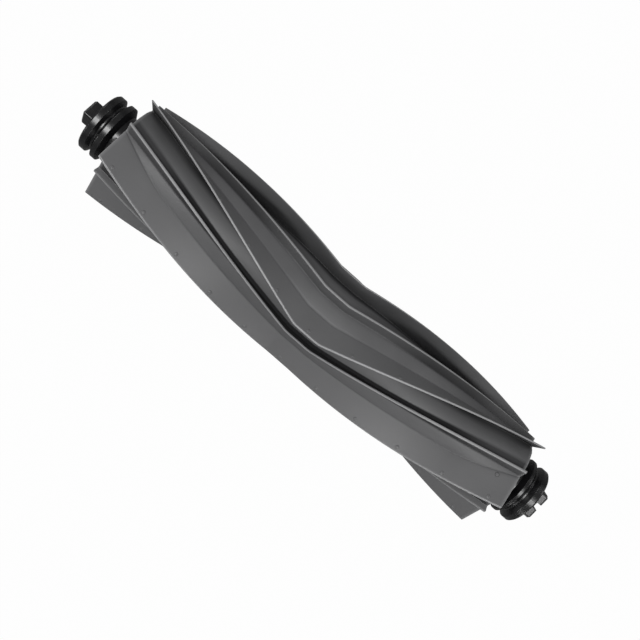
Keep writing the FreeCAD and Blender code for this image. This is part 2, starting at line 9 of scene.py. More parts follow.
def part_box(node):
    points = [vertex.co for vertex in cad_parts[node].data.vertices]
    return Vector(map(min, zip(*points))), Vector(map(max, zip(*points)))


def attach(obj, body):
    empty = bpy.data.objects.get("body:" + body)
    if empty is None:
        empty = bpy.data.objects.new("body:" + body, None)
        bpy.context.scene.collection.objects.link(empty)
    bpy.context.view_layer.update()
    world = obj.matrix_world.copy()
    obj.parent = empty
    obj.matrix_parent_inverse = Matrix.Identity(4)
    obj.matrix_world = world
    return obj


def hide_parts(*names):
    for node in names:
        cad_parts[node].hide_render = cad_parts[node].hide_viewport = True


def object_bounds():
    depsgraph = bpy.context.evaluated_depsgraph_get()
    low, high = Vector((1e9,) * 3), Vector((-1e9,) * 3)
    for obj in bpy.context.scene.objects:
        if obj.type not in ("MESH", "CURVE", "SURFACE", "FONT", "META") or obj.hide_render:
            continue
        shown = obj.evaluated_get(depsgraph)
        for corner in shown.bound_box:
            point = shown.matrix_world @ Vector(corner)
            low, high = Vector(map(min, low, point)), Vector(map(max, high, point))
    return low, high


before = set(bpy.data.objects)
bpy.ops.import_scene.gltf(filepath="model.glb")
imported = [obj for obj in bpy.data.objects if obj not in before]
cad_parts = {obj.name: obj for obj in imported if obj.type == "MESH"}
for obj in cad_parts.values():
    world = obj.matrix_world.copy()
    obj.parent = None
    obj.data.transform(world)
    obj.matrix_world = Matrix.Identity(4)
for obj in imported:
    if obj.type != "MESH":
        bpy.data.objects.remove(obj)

bl_info = {
    "name": "Chevron Roller Brush",
    "version": (1, 0, 0),
    "blender": (4, 5, 0),
    "location": "View3D > Sidebar > Roller",
    "description": "Dresses the packed roller brush: rubber sleeve, black spools, bearing and studio",
    "category": "Object",
}

CAD_LOW, CAD_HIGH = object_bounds()
SLEEVE_LOW, SLEEVE_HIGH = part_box("fin_sleeve")
TIP_RADIUS = min(-SLEEVE_LOW.y, SLEEVE_HIGH.y, -SLEEVE_LOW.z, SLEEVE_HIGH.z)
MM = 0.001
SENSOR_WIDTH = 36.0
FIN_CORNERS = (
    "back_foot", "back_crease", "back_tip", "front_tip", "front_crease", "front_foot",
    "floor_a", "floor_b", "floor_c", "floor_d",
)


def length(name, description, millimetres):
    """A length property, given in millimetres and kept in metres."""
    return bpy.props.FloatProperty(
        name=name, description=description, default=millimetres * MM, unit="LENGTH", precision=5
    )


def angle(name, description, degrees):
    """An angle property, given in degrees and kept in radians."""
    return bpy.props.FloatProperty(
        name=name, description=description, default=math.radians(degrees), subtype="ANGLE"
    )


def colour(name, description, rgb):
    """A linear colour property."""
    return bpy.props.FloatVectorProperty(
        name=name, description=description, default=rgb, subtype="COLOR", min=0.0, max=1.0
    )


def amount(name, description, value):
    """A plain number property."""
    return bpy.props.FloatProperty(name=name, description=description, default=value)


def count(name, description, value):
    """A whole number property."""
    return bpy.props.IntProperty(name=name, description=description, default=value)


def spot(name, description, metres):
    """A place property in metres."""
    return bpy.props.FloatVectorProperty(
        name=name, description=description, default=metres, subtype="TRANSLATION", unit="LENGTH"
    )


class RollerSleeveSizes(bpy.types.PropertyGroup):
    """Sizes of the finned rubber sleeve, with angles measured from +Z towards -Y."""

    half_length: length("Half length", "Middle of the sleeve to either end", SLEEVE_HIGH.x / MM)
    tip_radius: length("Tip radius", "Axis to the tall fins' tips", TIP_RADIUS / MM)
    valley_radius: length("Valley radius", "Axis to the tube between the fins", 13.3)
    bore_radius: length("Bore radius", "Axis to the sleeve's inner wall", 9.85)
    keyway_radius: length("Keyway radius", "Axis to the floor of a keyway in the bore", 10.65)
    keyway_width: length("Keyway width", "Width of a keyway in the bore", 2.1)
    keyway_start: angle("Keyway start", "Angle of the first of the four keyways", 60.0)
    apex_half: length("Apex half", "Middle to the bend where the chevron starts to slant", 4.8)
    bend_softness: length("Bend softness", "How gently the fins bend there", 0.7)
    fin_count: count("Fin count", "Tall fins, and short ones between them", 5)
    tall_start: angle("Tall start", "Angle of the first tall fin's leading edge at the middle", 23.0)
    tall_twist: angle("Tall twist", "How far a tall fin turns from the bend to the end", 70.2)
    tall_lean: angle("Tall lean", "How far a tall fin's root lies behind its tip", 20.0)
    end_lean: angle("End lean", "The same at the sleeve's ends", 36.0)
    lean_run: length("Lean run", "Length over which the lean grows at each end", 22.0)
    lean_power: amount("Lean power", "How late in that length the lean grows", 1.4)
    tall_crease_radius: length("Tall crease radius", "Axis to a tall fin's crease", 13.5)
    tall_root_angle: angle("Tall root angle", "Thickness of a tall fin at its crease", 7.215)
    tall_tip_angle: angle("Tall tip angle", "Thickness of a tall fin at its tip", 2.005)
    tall_flare: angle("Tall flare", "Spread of a tall fin's foot beyond its crease", 1.2)
    short_tip_radius: length("Short tip radius", "Axis to the short fins' tips", 15.9)
    short_start: angle("Short start", "Angle of the first short fin's leading edge at the middle", 45.0)
    short_twist: angle("Short twist", "How far a short fin turns from the bend to the end", 63.3)
    short_crease_radius: length("Short crease radius", "Axis to a short fin's crease", 13.45)
    short_tip_angle: angle("Short tip angle", "Thickness of a short fin at its tip", 3.423)
    short_trail_angle: angle("Short trail angle", "Leading edge back to the trailing crease", 0.7)
    short_lead_angle: angle("Short lead angle", "Leading edge forward to the leading crease", 3.773)
    short_flare: angle("Short flare", "Spread of a short fin's foot beyond its crease", 0.95)
    least_valley: angle("Least valley", "Width of the floor kept where two feet meet", 0.6)
    tip_round: length("Tip round", "Rounding of the fins' tips", 0.2)
    crease_round: length("Crease round", "Rounding of the creases and feet", 0.45)
    end_round: length("End round", "Rounding of the sleeve's end edges", 0.22)
    # The lighter stretch along the end edges is a painted highlight.
    end_highlight: length("End rub", "Length of the rubbed stretch at those edges", 0.352)
    pip_pitch: length("Pip pitch", "Distance between moulding pips along a tall fin", 15.05)
    pip_inset: length("Pip inset", "Tip edge to a pip's middle", 1.3)
    pip_radius: length("Pip radius", "Radius of a pip", 0.8)
    pip_height: length("Pip height", "Height of a pip above the fin", 0.2)
    pip_sink: length("Pip sink", "How far a pip's rim goes into the fin", 0.06)
    gate_place: length("Gate place", "Middle of the sleeve to each tall fin's gate mark", 73.9)
    gate_inset: length("Gate inset", "Tip edge to a gate mark's middle", 9.2)
    gate_radius: length("Gate radius", "Radius of a gate mark", 0.95)
    # Pip rims and gate mark rings carry painted shade.
    pip_rim_shade: amount("Pip tone", "How dark the rim of a pip is", 0.35)
    gate_ring_shade: amount("Gate tone", "How dark the ring of a gate mark is", 0.75)
    # The tall fins' broad faces carry a share of painted light.
    face_light_share: amount("Face wear", "Share of the rubbed tone on the tall fins' broad faces", 0.12)
    # The dark line behind each short fin is a painted shadow on the valley floor.
    shadow_line_reach: length("Line reach", "Middle to where the dark line behind a short fin widens", 30.0)
    shadow_line_run: length("Line run", "Length over which it widens", 40.0)
    shadow_line_spread: amount("Line spread", "Share of the valley that it gains", 0.16)
    # The dark creases are painted shade, which fades a little towards the ends.
    crease_shade_reach: length("Hollow reach", "Middle to where the dark creases start to fade", 52.0)
    crease_shade_run: length("Hollow run", "Length over which they fade", 18.0)
    crease_shade_loss: amount("Hollow loss", "How much of the creases' dark fades", 0.25)
    # The short fins' dark backs are painted shade at the middle.
    back_reach: length("Back reach", "Middle to where the short fins' dark backs start to fade", 34.0)
    back_run: length("Back run", "Length over which they fade", 14.0)
    # Near the ends the short fins' backs get painted light instead of painted shade.
    back_painted_light: amount("Back wear", "Rubbed tone on the short fins' backs near the ends", 0.45)
    # The fins' dark fronts are a painted shadow.
    front_reach: length("Front reach", "Middle to where the fins' fronts grow darker", 10.0)
    front_run: length("Front run", "Length over which they grow darker", 30.0)
    front_least: amount("Front least", "Dark on the fins' fronts at the middle", 0.2)
    front_most: amount("Front most", "Dark on the fins' fronts farther out", 0.9)
    front_loss: amount("Front loss", "How much of the dark on the fins' fronts fades at the ends", 0.4)


class RollerBallSizes(bpy.types.PropertyGroup):
    """Sizes of the bearing's balls."""

    ball_radius: length("Ball radius", "Radius of a ball", 1.0)
    ball_pitch: length("Ball pitch", "Axis to the balls' centres", 3.8)
    ball_count: count("Ball count", "Balls in the bearing", 7)


class RollerFinish(bpy.types.PropertyGroup):
    """Colours and gloss of the roller's materials."""

    rubber: colour("Rubber", "Body of the sleeve", (0.067, 0.067, 0.0686))
    # Colour of the painted highlight and painted light on the sleeve.
    rubber_highlight: colour("Rubber edge", "Rubbed tips and end edges of the fins", (0.2, 0.2, 0.203))
    # Colour of the painted shade on the sleeve.
    rubber_shade: colour("Rubber hollow", "Dark creases and faces of the fins", (0.006, 0.006, 0.0065))
    rubber_rough: amount("Rubber roughness", "Least roughness of the sleeve", 0.42)
    rubber_range: amount("Rubber range", "How far the roughness of the sleeve varies", 0.08)
    rubber_shine: amount("Rubber shine", "Specular level of the sleeve", 0.3)
    # Roughness gained where the shade is painted.
    shade_dull: amount("Hollow dullness", "Roughness that the dark hollows gain", 0.5)
    spool: colour("Spool", "Glossy black end caps", (0.003, 0.003, 0.0034))
    spool_scuff: colour("Spool scuff", "Rubbed edges of the caps", (0.022, 0.022, 0.023))
    spool_rough: amount("Spool roughness", "Middle roughness of the caps", 0.25)
    spool_shine: amount("Spool shine", "Specular level of the caps", 0.65)
    block: colour("Block", "Black fork block", (0.009, 0.009, 0.0095))
    block_rough: amount("Block roughness", "Middle roughness of the fork block", 0.3)
    block_shine: amount("Block shine", "Specular level of the fork block", 0.75)
    core: colour("Core", "Stiff core tube", (0.05, 0.05, 0.052))
    steel: colour("Steel", "Bearing races, pin and clip", (0.62, 0.61, 0.59))
    shield: colour("Shield", "Pressed steel shields and washer", (0.72, 0.72, 0.71))
    ball: colour("Ball", "Polished balls", (0.78, 0.78, 0.79))
    nylon: colour("Nylon", "Ball cage", (0.42, 0.36, 0.26))


class RollerStage(bpy.types.PropertyGroup):
    """Floor, lamps and camera."""

    floor_colour: colour("Floor colour", "Sweep under the roller", (0.12, 0.12, 0.12))
    floor_white: amount("Floor white", "Share of plain white that the camera sees in the sweep", 0.985)
    floor_gap: length("Floor gap", "Lowest point of the roller to the sweep", 0.3)
    floor_radius: length("Floor radius", "Middle to the sweep's rim", 1600.0)
    floor_rise: length("Floor rise", "Height of the sweep's rim", 520.0)
    lamp_distance: length("Lamp distance", "Roller to each lamp", 900.0)
    front_angle: angle("Front angle", "Front lamp's turn from +Z towards -Y", 6.0)
    front_width: length("Front width", "Front lamp along the roller", 900.0)
    front_height: length("Front height", "Front lamp across the roller", 340.0)
    front_power: amount("Front power", "Front lamp in watts", 9.6)
    near_angle: angle("Near angle", "Near pair's turn from +Z towards -Y", 70.0)
    near_power: amount("Near power", "Each near lamp in watts", 8.0)
    far_angle: angle("Far angle", "Far pair's turn from +Z towards -Y", -60.0)
    far_power: amount("Far power", "Each far lamp in watts", 5.5)
    near_reach: length("Near reach", "Middle of the roller to each near lamp, along the roller", 850.0)
    far_reach: length("Far reach", "Middle of the roller to each far lamp, along the roller", 900.0)
    pair_size: length("Pair size", "Side of each square side lamp", 500.0)
    surround: amount("Surround", "Strength of the plain surroundings", 0.17)
    lens: amount("Lens", "Focal length in millimetres on a 36 mm sensor", 52.297)
    camera_place: spot("Camera place", "Where the camera stands", (-0.02135, -0.00232, 0.29576))
    camera_aim: spot("Camera aim", "Point in the picture's middle", (0.00183, -0.00135, 0.0))
    camera_roll: angle("Camera roll", "Turn of the picture that slants the roller", -41.29)


def ramp(distance, softness):
    """Zero before the start and the distance itself after it, joined by a hyperbola of that softness."""
    return 0.5 * (distance + np.sqrt(distance**2 + softness**2))


def smooth_share(place, start, run):
    """How far a place lies along a run from its start, eased at both ends by a cubic."""
    share = np.clip((place - start) / run, 0, 1)
    return share**2 * (3 - 2 * share)


def polar(radius, turn):
    """Section points (Y, Z) at a radius and an angle from +Z towards -Y."""
    return np.stack([-radius * np.sin(turn), radius * np.cos(turn)], axis=-1)


def even_turns(steps):
    """Angles at even steps once round."""
    return np.arange(steps) * 2 * np.pi / steps


def ring_quads(rows, columns):
    """Corner numbers of the quads between closed rings of points, ring by ring."""
    start = np.arange(rows - 1)[:, None] * columns
    across = np.arange(columns)
    here, beside = start + across, start + (across + 1) % columns
    return np.stack([here, beside, beside + columns, here + columns], axis=-1).reshape(-1, 4)


def closing_fans(rows, columns, start, end):
    """Triangles that close a stack of rings, the first on one point and the last on another."""
    first = np.arange(columns)
    beside = (first + 1) % columns
    last = (rows - 1) * columns
    return np.concatenate([
        np.column_stack([beside, first, np.full(columns, start)]),
        np.column_stack([first + last, beside + last, np.full(columns, end)]),
    ])


def sleeve_stations(size):
    """Places along the sleeve: even steps, closer at the two bends and over the rounded ends."""
    body_count, bend_count, end_count = 151, 13, 5
    bend_reach, least_step = 2.2, 0.01 * MM
    half = size.half_length
    body = np.linspace(-half, half, body_count)
    bend = np.linspace(-bend_reach, bend_reach, bend_count) * size.bend_softness
    arc = half - size.end_round * (1 - np.sin(np.linspace(0, np.pi / 2, end_count)))
    places = np.sort(np.concatenate([
        body[np.abs(body) < half - 2 * size.end_round],
        size.apex_half + bend, -size.apex_half + bend, arc, -arc,
    ]))
    return places[np.append(True, np.diff(places) > least_step)]


def fin_angles(size, station):
    """Leading angles of the first tall and short fin and the tall fin's lean at each station.

    Both angles fall back evenly from the bend to the end, so the fins are helices that mirror at the
    middle, and the lean grows by a power of the distance over the last stretch.
    """
    reach = np.abs(station)
    turn = ramp(reach - size.apex_half, size.bend_softness) / (size.half_length - size.apex_half)
    droop = np.clip((reach - size.half_length + size.lean_run) / size.lean_run, 0, 1) ** size.lean_power
    lean = size.tall_lean + (size.end_lean - size.tall_lean) * droop
    return size.tall_start - size.tall_twist * turn, size.short_start - size.short_twist * turn, lean


def sleeve_corners(size, station):
    """Corner points of the whole section at each station.

    One sector holds a tall fin, a valley, a short fin and a valley. Each fin is foot, crease, two tip
    corners, crease and foot, and each valley is an arc on the tube. Where a tall fin's foot meets the
    foot behind it, both stop half way on their own flare lines. Two of a valley's points bound the
    painted shadow behind the short fin, which widens towards the ends.
    """
    step = 2 * np.pi / size.fin_count
    tall, short, lean = fin_angles(size, station)
    tall_trail = tall - lean
    tall_lead = tall_trail + size.tall_root_angle
    short_trail = short - size.short_trail_angle
    short_lead = short + size.short_lead_angle
    tall_foot = tall_trail - size.tall_flare
    short_foot = short_lead + size.short_flare
    middle = (tall_foot + short_foot - step) / 2
    tall_foot = np.maximum(tall_foot, middle + size.least_valley / 2)
    short_foot = np.minimum(short_foot, middle + step - size.least_valley / 2)
    tall_drop = np.clip((tall_trail - tall_foot) / size.tall_flare, 0, 1)
    short_drop = np.clip((short_foot - short_lead) / size.short_flare, 0, 1)
    tall_crease, short_crease = size.tall_crease_radius, size.short_crease_radius
    valley = size.valley_radius
    tall_foot_radius = tall_crease + (valley - tall_crease) * tall_drop
    short_foot_radius = short_crease + (valley - short_crease) * short_drop
    lead_foot = tall_lead + size.tall_flare
    trail_foot = short_trail - size.short_flare
    # These valley points bound the painted shadow behind each short fin.
    floor_share = np.array([0.1, 0.3, 0.84, 0.89])
    floor_shift = np.array([0.0, 0.0, 1.2, 0.8])
    spread = size.shadow_line_spread * smooth_share(np.abs(station)[:, None], size.shadow_line_reach, size.shadow_line_run)
    share = floor_share - spread * floor_shift
    first_valley = lead_foot[:, None] + (trail_foot - lead_foot)[:, None] * share
    second_valley = short_foot[:, None] + (tall_foot + step - short_foot)[:, None] * share
    second_radius = short_foot_radius[:, None] + (tall_foot_radius - short_foot_radius)[:, None] * share
    even = np.ones_like(station)
    turn = np.column_stack([
        tall_foot, tall_trail, tall - size.tall_tip_angle, tall, tall_lead, lead_foot, first_valley,
        trail_foot, short_trail, short - size.short_tip_angle, short, short_lead, short_foot,
        second_valley,
    ])
    radius = np.column_stack([
        tall_foot_radius, even * tall_crease, even * size.tip_radius, even * size.tip_radius,
        even * tall_crease, even * valley, np.full_like(first_valley, valley),
        even * valley, even * short_crease, even * size.short_tip_radius,
        even * size.short_tip_radius, even * short_crease, short_foot_radius, second_radius,
    ])
    turn = (turn[:, None, :] + even_turns(size.fin_count)[:, None]).reshape(len(station), -1)
    return polar(np.tile(radius, (1, size.fin_count)), turn)


def corner_row(**given):
    """One number per corner of a fin and of the valley before the next, zero where none is given."""
    return [given.get(corner, 0.0) for corner in FIN_CORNERS]


def sleeve_plan(size):
    """How each corner of the section is drawn, as one row per kind of number and one column per corner.

    The rows are the rounding, the samples on it, the samples on the edge after it, and then the painted
    light, painted shade, back and front marks, each before and after the corner. The back marks are
    painted shade at the middle and painted light near the ends, and the front marks a painted shadow.
    Tall fins come before short ones.
    """
    # The tall fins' broad faces get a share of painted light.
    crease, tip, face_light = size.crease_round, size.tip_round, size.face_light_share
    rounding = corner_row(
        back_foot=crease, back_crease=crease, back_tip=tip,
        front_tip=tip, front_crease=crease, front_foot=crease,
    )
    samples = corner_row(
        back_foot=3, back_crease=3, back_tip=4, front_tip=4, front_crease=3, front_foot=3,
        floor_a=1, floor_b=1, floor_c=1, floor_d=1,
    )
    between = corner_row(back_crease=6, back_tip=1, front_tip=6)
    # Painted highlight on the fins' tips, and painted light on the tall fins' broad faces.
    painted_light_in = corner_row(back_tip=face_light, front_tip=1.0) + corner_row(front_tip=1.0)
    painted_light_out = corner_row(back_crease=face_light, back_tip=1.0) + corner_row(back_tip=0.3)
    # Painted shade in the creases and on the valley floor beside them.
    tall_shade = corner_row(
        back_foot=0.15, back_crease=0.15, front_crease=0.7, front_foot=1.0, floor_a=0.8, floor_d=1.0
    )
    short_shade = {"back_foot": 1.0, "front_crease": 0.3, "front_foot": 0.2}
    shade_in = tall_shade + corner_row(back_crease=1.0, **short_shade)
    shade_out = tall_shade + corner_row(**short_shade)
    # The short fins' backs: painted shade at the middle, painted light near the ends.
    back_in = corner_row() + corner_row(back_crease=1.0, back_tip=1.0)
    back_out = corner_row() + corner_row(back_crease=1.0, back_tip=0.6)
    # Painted shadow on the fins' fronts and on the floor in front of the tall fins.
    tall_front = {"front_foot": 1.0, "floor_a": 1.0, "floor_b": 0.35}
    front_in = corner_row(front_crease=3.0, **tall_front) + corner_row(front_crease=1.0, front_foot=0.7)
    front_out = (
        corner_row(front_tip=-1.3, front_crease=1.0, **tall_front)
        + corner_row(front_tip=0.8, front_crease=1.0, front_foot=0.7)
    )
    return np.tile(np.array([
        rounding * 2, samples * 2, between * 2, painted_light_in, painted_light_out,
        shade_in, shade_out, back_in, back_out, front_in, front_out,
    ]), (1, size.fin_count))


def rounded_loops(corner, plan):
    """Closed loops through the corners, each corner cut off by a parabola and long edges divided.

    A corner's parabola starts and ends its rounding away along the two edges, but never so far that it
    meets the next one. The marks change evenly over each corner and along each edge.
    """
    most_cut, edge_ease = 0.45, 0.04
    rounding, samples, between = plan[:3]
    mark_in, mark_out = plan[3::2], plan[4::2]
    before, after = np.roll(corner, 1, axis=1) - corner, np.roll(corner, -1, axis=1) - corner
    before_length = np.linalg.norm(before, axis=-1, keepdims=True)
    after_length = np.linalg.norm(after, axis=-1, keepdims=True)
    cut = np.minimum(rounding[:, None], most_cut * np.minimum(before_length, after_length))
    enter, leave = corner + before / before_length * cut, corner + after / after_length * cut
    order = np.arange(int(samples.max()))
    share = np.where(samples[:, None] > 1, order / np.maximum(samples[:, None] - 1, 1), 0.5)
    t = share[None, :, :, None]
    start, peak, end = enter[:, :, None], corner[:, :, None], leave[:, :, None]
    bend = (1 - t) ** 2 * start + 2 * t * (1 - t) * peak + t**2 * end
    ahead = np.roll(enter, -1, axis=1)
    spread = np.arange(int(between.max()))
    even = (spread + 1) / (between[:, None] + 1)
    step = 0.5 - 0.5 * np.cos(np.pi * even) * (1 - edge_ease * np.sin(np.pi * even))
    edge = end + (ahead - leave)[:, :, None] * step[None, :, :, None]
    block = np.concatenate([bend, edge], axis=2)
    keep = np.concatenate([order < samples[:, None], spread < between[:, None]], axis=1).ravel()
    bend_mark = mark_in[..., None] + (mark_out - mark_in)[..., None] * share
    ahead_mark = np.roll(mark_in, -1, axis=1)
    edge_mark = mark_out[..., None] + (ahead_mark - mark_out)[..., None] * step
    marks = np.concatenate([bend_mark, edge_mark], axis=2).reshape(len(mark_in), -1)
    return block.reshape(len(corner), -1, 2)[:, keep], marks[:, keep]


def end_inset(size, station):
    """How far the section draws in at each station: a quarter circle at the last stretch of each end."""
    left = np.clip(1 - (size.half_length - np.abs(station)) / size.end_round, 0, 1)
    return size.end_round * (1 - np.sqrt(1 - left**2))


def bore_loop(size):
    """The bore's outline: a circle with four keyways, each two radial walls and a flat floor."""
    keyways, arc_count = 4, 8
    half = size.keyway_width / 2
    wall = math.asin(half / size.bore_radius)
    floor = math.asin(half / size.keyway_radius)
    arc = np.linspace(wall, 2 * np.pi / keyways - wall, arc_count + 1)[:-1]
    turn = np.concatenate([[-wall, -floor, floor], arc])
    radius = np.concatenate([
        [size.bore_radius], [size.keyway_radius] * 2, np.full(arc_count, size.bore_radius)
    ])
    start = even_turns(keyways) + size.keyway_start
    return polar(np.tile(radius, keyways), (start[:, None] + turn).ravel())


def sleeve_pips(size):
    """Moulding pips on the tall fins' broad faces: domes whose height falls with the square of distance.

    Their middles lie at even steps along each fin, a fixed inset from the trailing tip edge, and each
    dome's rim is sunk a little into the face. One wider dome per fin is the gate mark near its crease.
    Each pip's rim and each gate mark's ring carry painted shade.
    """
    rings, spokes, least_ring, nudge = 4, 10, 0.22, 0.05 * MM
    reach = int((size.half_length - size.pip_radius) // size.pip_pitch)
    place = np.append(np.arange(-reach, reach + 1) * size.pip_pitch, size.gate_place)
    row = np.ones(2 * reach + 1)
    inset = np.append(row * size.pip_inset, size.gate_inset)
    wide = np.append(row * size.pip_radius, size.gate_radius)
    wide = np.repeat(wide, size.fin_count)[:, None, None, None]
    sector = even_turns(size.fin_count)

    def face_point(station, inset):
        tall, _, lean = fin_angles(size, station)
        turn = tall[:, None] + sector
        tip = polar(np.full_like(turn, size.tip_radius), turn - size.tall_tip_angle)
        root = polar(np.full_like(turn, size.tall_crease_radius), turn - lean[:, None])
        down = (root - tip) / np.linalg.norm(root - tip, axis=-1, keepdims=True)
        section = tip + down * inset[:, None, None]
        along = np.broadcast_to(station[:, None, None], section.shape[:-1] + (1,))
        return np.concatenate([along, section], axis=-1).reshape(-1, 3)

    middle = face_point(place, inset)
    run = face_point(place + nudge, inset) - face_point(place - nudge, inset)
    down = face_point(place, inset + nudge) - middle
    run /= np.linalg.norm(run, axis=-1, keepdims=True)
    out = np.cross(run, down)
    out /= np.linalg.norm(out, axis=-1, keepdims=True)
    side = np.cross(out, run)
    ring = np.linspace(1, least_ring, rings)[:, None]
    spin = even_turns(spokes)
    across, upward = ring * np.cos(spin), ring * np.sin(spin)
    height = (1 - ring**2) * (size.pip_height + size.pip_sink) - size.pip_sink
    dome = (
        middle[:, None, None] + run[:, None, None] * across[..., None] * wide
        + side[:, None, None] * upward[..., None] * wide + out[:, None, None] * height[..., None]
    ).reshape(len(middle), -1, 3)
    top = middle + out * size.pip_height
    base = middle - out * size.pip_sink
    points = np.concatenate([dome, top[:, None], base[:, None]], axis=1)
    offset = (np.arange(len(middle)) * points.shape[1])[:, None, None]
    quads = (ring_quads(rings, spokes) + offset).reshape(-1, 4)
    fans = closing_fans(rings, spokes, rings * spokes + 1, rings * spokes)
    triangles = (fans + offset).reshape(-1, 3)
    # Painted shade on each pip's rim and, wider, on each gate mark's ring.
    painted_shade = np.zeros(points.shape[:2])
    painted_shade[:, :spokes] = size.pip_rim_shade
    painted_shade[-size.fin_count:, :2 * spokes] = size.gate_ring_shade
    return points.reshape(-1, 3), quads, triangles, painted_shade.ravel()


def fill_mesh(name, points, quads, triangles, smooth):
    """A mesh object at the origin from whole arrays of points, four-sided and three-sided faces."""
    mesh = bpy.data.meshes.new(name)
    corners = np.concatenate([quads.ravel(), triangles.ravel()]).astype(np.int32)
    sizes = np.concatenate([np.full(len(quads), 4), np.full(len(triangles), 3)])
    starts = np.concatenate([[0], np.cumsum(sizes)[:-1]]).astype(np.int32)
    mesh.vertices.add(len(points))
    mesh.vertices.foreach_set("co", np.ascontiguousarray(points, np.float32).ravel())
    mesh.loops.add(len(corners))
    mesh.loops.foreach_set("vertex_index", corners)
    mesh.polygons.add(len(sizes))
    mesh.polygons.foreach_set("loop_start", starts)
    mesh.polygons.foreach_set("use_smooth", smooth)
    mesh.update(calc_edges=True)
    if mesh.validate():
        raise RuntimeError(f"{name} has faces that cannot be used")
    piece = bpy.data.objects.new(name, mesh)
    bpy.context.scene.collection.objects.link(piece)
    return piece


def end_face(outer, bore, way):
    """Triangles of the flat ring between an outer loop and the bore, turned to face one way along X.

    Their numbers count the outer loop's points first and then the bore's.
    """
    loops = [np.pad(loop, ((0, 0), (0, 1))).tolist() for loop in (outer, bore)]
    face = np.array(tessellate_polygon(loops))
    a, b, c = np.concatenate([outer, bore])[face.T]
    facing = (b - a)[:, 0] * (c - a)[:, 1] - (b - a)[:, 1] * (c - a)[:, 0]
    return np.where((facing * way > 0)[:, None], face, face[:, ::-1])


def sleeve_marks(size, station, painted_light, painted_shade, back, front):
    """The painted light and painted shade marks of the skin's points, by station and section point.

    Painted light is a painted highlight on the tips and end edges, and a lighter tone on the tall fins'
    broad faces and, near the ends, on the short fins' backs. Painted shade lies in the creases and on
    the short fins' backs at the middle, and is a painted shadow on the fins' fronts away from it.
    """
    reach = np.abs(station)[:, None]
    # Painted highlight along the rounded end edges.
    near_end = np.clip(1 - (size.half_length - reach) / size.end_highlight, 0, 1)
    past = smooth_share(reach, size.crease_shade_reach, size.crease_shade_run)
    bare = smooth_share(reach, size.back_reach, size.back_run)
    gain = smooth_share(reach, size.front_reach, size.front_run)
    # Painted shade in the creases, fading a little towards the ends.
    crease = painted_shade * (1 - size.crease_shade_loss * past)
    # Painted shadow on the fins' fronts, darker away from the middle.
    front = front * (size.front_least + (size.front_most - size.front_least) * gain)
    front = np.clip(front * (1 - size.front_loss * past), 0, 1)
    # Painted light and painted shade for each skin point.
    return {
        "painted_light": np.maximum(np.maximum(painted_light, near_end), size.back_painted_light * back * bare),
        "painted_shade": np.maximum(np.maximum(crease, back * (1 - bare)), front),
    }


def sleeve_mesh(size):
    """The whole sleeve as one closed skin with its pips.

    The outside is a grid of stations by section points, drawn in at the ends along the section's
    normal, the bore is a straight grid, and the two ends are the flat faces between them.
    """
    station = sleeve_stations(size)
    section, row_marks = rounded_loops(sleeve_corners(size, station), sleeve_plan(size))
    flow = np.roll(section, -1, axis=1) - np.roll(section, 1, axis=1)
    flow /= np.linalg.norm(flow, axis=-1, keepdims=True)
    outward = np.stack([flow[..., 1], -flow[..., 0]], axis=-1)
    outward *= np.sign((outward * section).sum(axis=-1).mean())
    section = section - outward * end_inset(size, station)[:, None, None]
    rows, columns = section.shape[:2]
    along = np.broadcast_to(station[:, None, None], (rows, columns, 1))
    skin = np.concatenate([along, section], axis=-1).reshape(-1, 3)
    bore = bore_loop(size)
    ends = np.array([-size.half_length, size.half_length])
    bore_points = np.concatenate([
        np.broadcast_to(ends[:, None, None], (2, len(bore), 1)), np.broadcast_to(bore, (2,) + bore.shape)
    ], axis=-1).reshape(-1, 3)
    skin_quads = ring_quads(rows, columns)
    bore_quads = ring_quads(2, len(bore))[:, ::-1] + len(skin)
    caps = []
    for row, bore_row, way in ((0, 0, -1), (rows - 1, 1, 1)):
        outline = np.concatenate([
            np.arange(columns) + row * columns, np.arange(len(bore)) + len(skin) + bore_row * len(bore),
        ])
        caps.append(outline[end_face(section[row], bore, way)])
    cap_faces = np.concatenate(caps)
    pip_points, pip_quads, pip_triangles, pip_painted_shade = sleeve_pips(size)
    base = len(skin) + len(bore_points)
    points = np.concatenate([skin, bore_points, pip_points])
    quads = np.concatenate([skin_quads, bore_quads, pip_quads + base])
    triangles = np.concatenate([cap_faces, pip_triangles + base])
    smooth = np.concatenate([
        np.ones(len(skin_quads)), np.zeros(len(bore_quads)), np.ones(len(pip_quads)),
        np.zeros(len(cap_faces)), np.ones(len(pip_triangles)),
    ]).astype(bool)
    piece = fill_mesh("finned_sleeve", points, quads, triangles, smooth)
    # Pips take the broad faces' painted light and carry their own painted shade.
    pip_marks = {"painted_light": np.full(len(pip_points), size.face_light_share), "painted_shade": pip_painted_shade}
    for name, mark in sleeve_marks(size, station, *row_marks).items():
        layer = piece.data.attributes.new(name, "FLOAT", "POINT")
        values = np.concatenate([mark.ravel(), np.zeros(len(bore_points)), pip_marks[name]])
        layer.data.foreach_set("value", values.astype(np.float32))
    return piece


